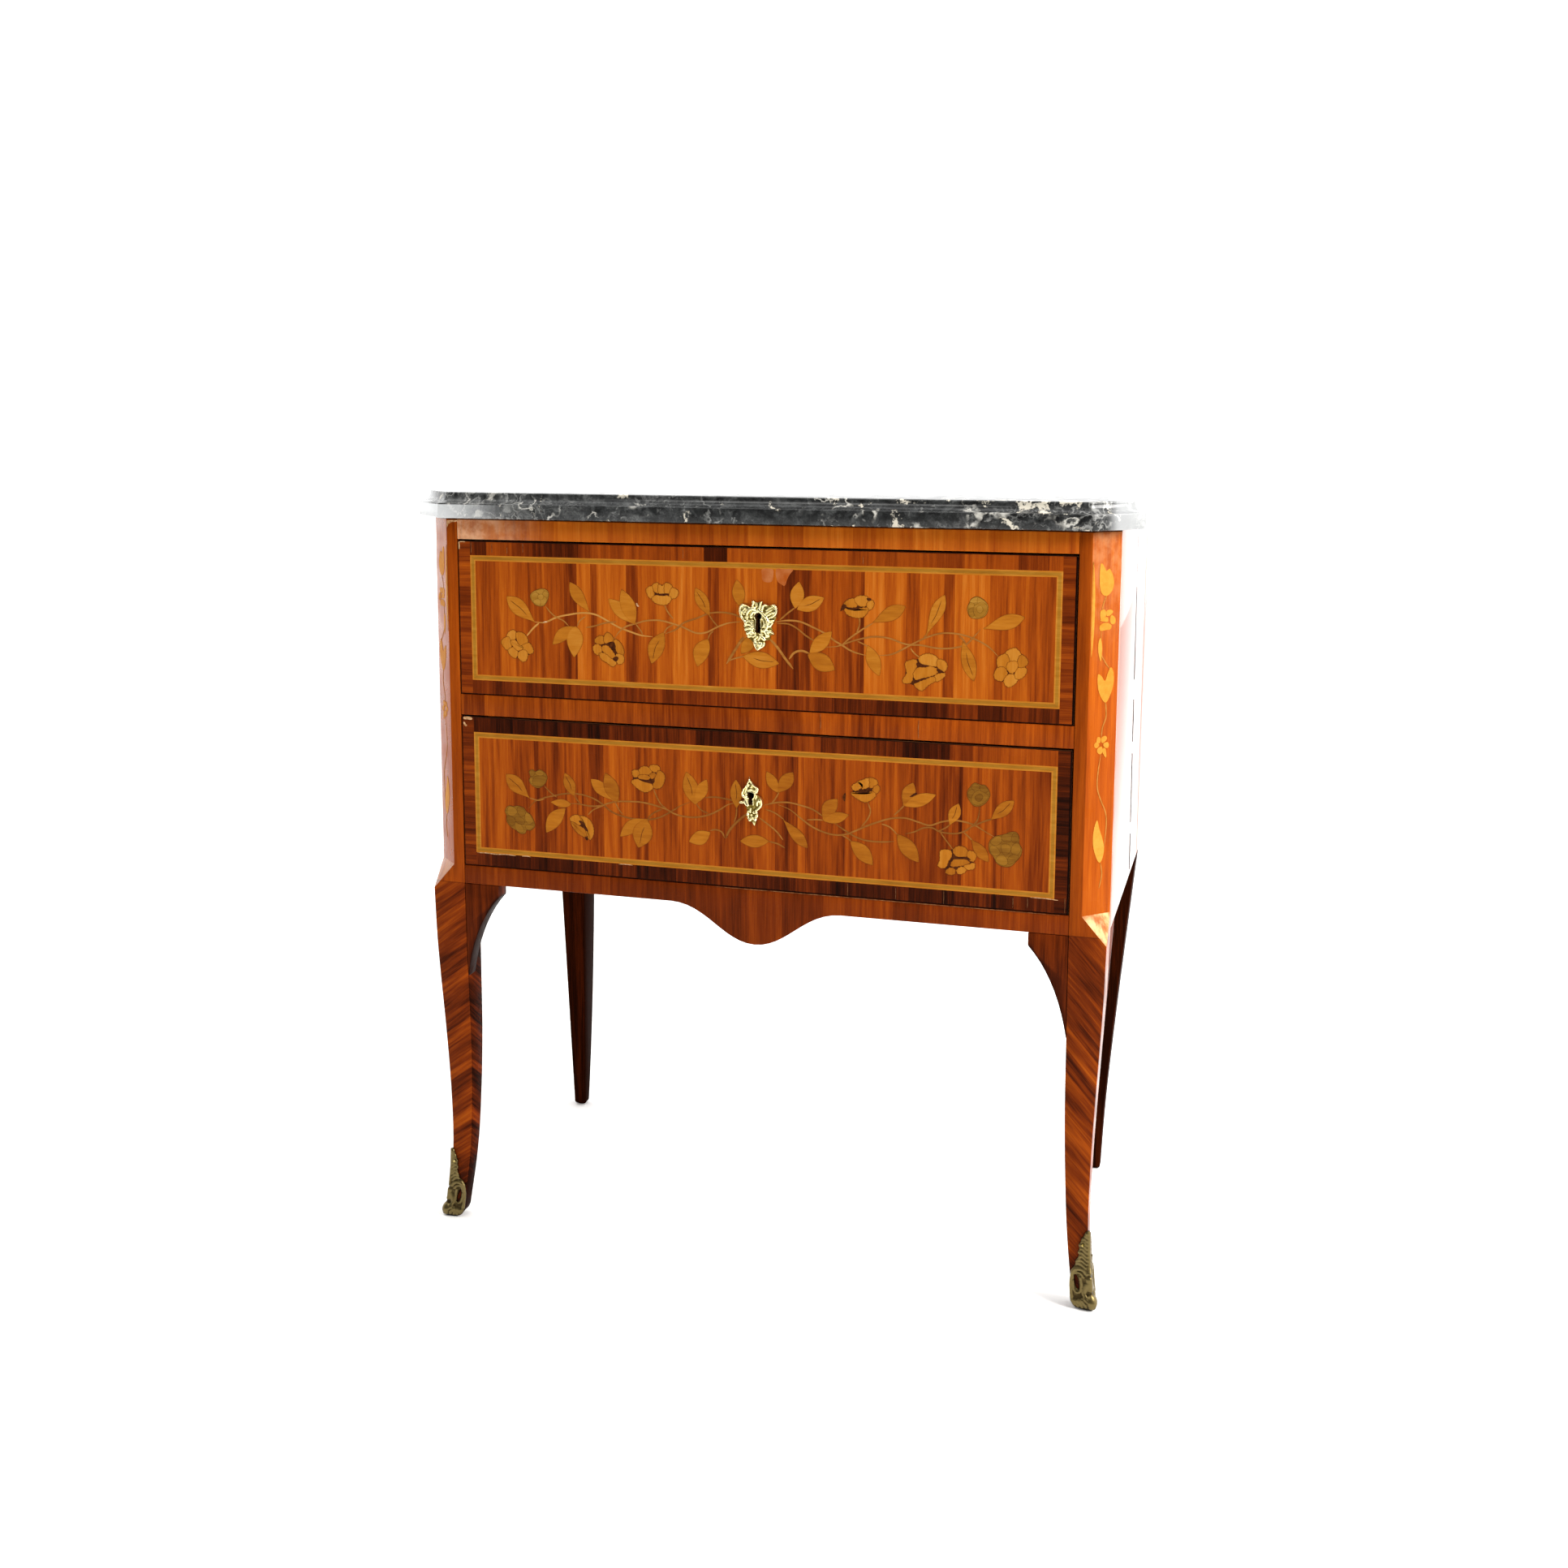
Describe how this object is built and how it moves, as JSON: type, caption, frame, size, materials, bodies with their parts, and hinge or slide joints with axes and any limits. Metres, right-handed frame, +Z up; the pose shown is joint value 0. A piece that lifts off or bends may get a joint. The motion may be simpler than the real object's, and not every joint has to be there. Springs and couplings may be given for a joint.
{
  "type": "commode chest",
  "caption": "Free-standing commode chest with marquetry drawers that slide and lock, a moulded marble top, cabriole front legs in brass sabots and tapered back legs.",
  "frame": {"origin": "on the floor, under the middle of the marble top", "axes": "+X towards the right end as seen from the front, +Y towards the back, +Z up; the drawers pull out along -Y"},
  "size_m": [0.802, 0.417, 0.85],
  "materials": {
    "marble": "polished dark grey marble with pale veins",
    "field_veneer": "red-brown veneer, French polished",
    "rail_veneer": "brown crossbanded veneer, French polished",
    "border_veneer": "dark crossbanded border veneer, French polished",
    "stringing": "pale stringing, French polished",
    "inlay_pale": "pale marquetry, shaded at the edges",
    "inlay_green": "green-stained marquetry",
    "dark_wood": "dark stained solid wood",
    "oak": "bare aged oak",
    "gilt_brass": "worn gilt brass",
    "lock_iron": "old wrought iron",
    "bolt_steel": "filed steel"
  },
  "bodies": {
    "carcass": {"marble_top": "marble", "front_left_post_leg": "rail_veneer", "front_right_post_leg": "rail_veneer", "left_side_panel": "rail_veneer", "right_side_panel": "rail_veneer", "front_top_rail": "rail_veneer", "divider_rail": "rail_veneer", "apron_rail": "rail_veneer", "front_left_knee_block": "rail_veneer", "front_right_knee_block": "rail_veneer", "side_left_knee_block": "rail_veneer", "side_right_knee_block": "rail_veneer", "rear_left_post_leg": "dark_wood", "rear_right_post_leg": "dark_wood", "rear_top_rail": "oak", "rear_middle_rail": "oak", "rear_bottom_rail": "oak", "back_panel": "oak", "dust_board": "oak", "bottom_board": "oak", "upper_left_runner": "oak", "upper_right_runner": "oak", "lower_left_runner": "oak", "lower_right_runner": "oak", "top_left_kicker": "oak", "top_right_kicker": "oak", "top_centre_brace": "oak", "left_sabot": "gilt_brass", "right_sabot": "gilt_brass", "left_sabot_front_pin": "gilt_brass", "left_sabot_side_pin": "gilt_brass", "right_sabot_front_pin": "gilt_brass", "right_sabot_side_pin": "gilt_brass"},
    "upper_drawer": {"upper_drawer_front": "field_veneer", "upper_drawer_left_side": "oak", "upper_drawer_right_side": "oak", "upper_drawer_back": "oak", "upper_drawer_bottom": "oak", "upper_escutcheon": "gilt_brass", "upper_escutcheon_left_pin": "gilt_brass", "upper_escutcheon_right_pin": "gilt_brass", "upper_lock_case": "lock_iron", "upper_lock_cap": "lock_iron", "upper_lock_left_screw": "lock_iron", "upper_lock_right_screw": "lock_iron"},
    "lower_drawer": {"lower_drawer_front": "field_veneer", "lower_drawer_left_side": "oak", "lower_drawer_right_side": "oak", "lower_drawer_back": "oak", "lower_drawer_bottom": "oak", "lower_escutcheon": "gilt_brass", "lower_escutcheon_top_pin": "gilt_brass", "lower_escutcheon_bottom_pin": "gilt_brass", "lower_lock_case": "lock_iron", "lower_lock_cap": "lock_iron", "lower_lock_left_screw": "lock_iron", "lower_lock_right_screw": "lock_iron"},
    "upper_lock_bolt": {"upper_lock_bolt": "bolt_steel"},
    "lower_lock_bolt": {"lower_lock_bolt": "bolt_steel"}
  },
  "joints": [
    {"name": "upper_drawer_slide", "type": "slide", "parent": "carcass", "child": "upper_drawer", "axis": [0, -1, 0], "range_m": [0, 0.28]},
    {"name": "lower_drawer_slide", "type": "slide", "parent": "carcass", "child": "lower_drawer", "axis": [0, -1, 0], "range_m": [0, 0.28]},
    {"name": "upper_bolt_throw", "type": "slide", "parent": "upper_drawer", "child": "upper_lock_bolt", "axis": [0, 0, 1], "range_m": [0, 0.008]},
    {"name": "lower_bolt_throw", "type": "slide", "parent": "lower_drawer", "child": "lower_lock_bolt", "axis": [0, 0, 1], "range_m": [0, 0.008]}
  ]
}
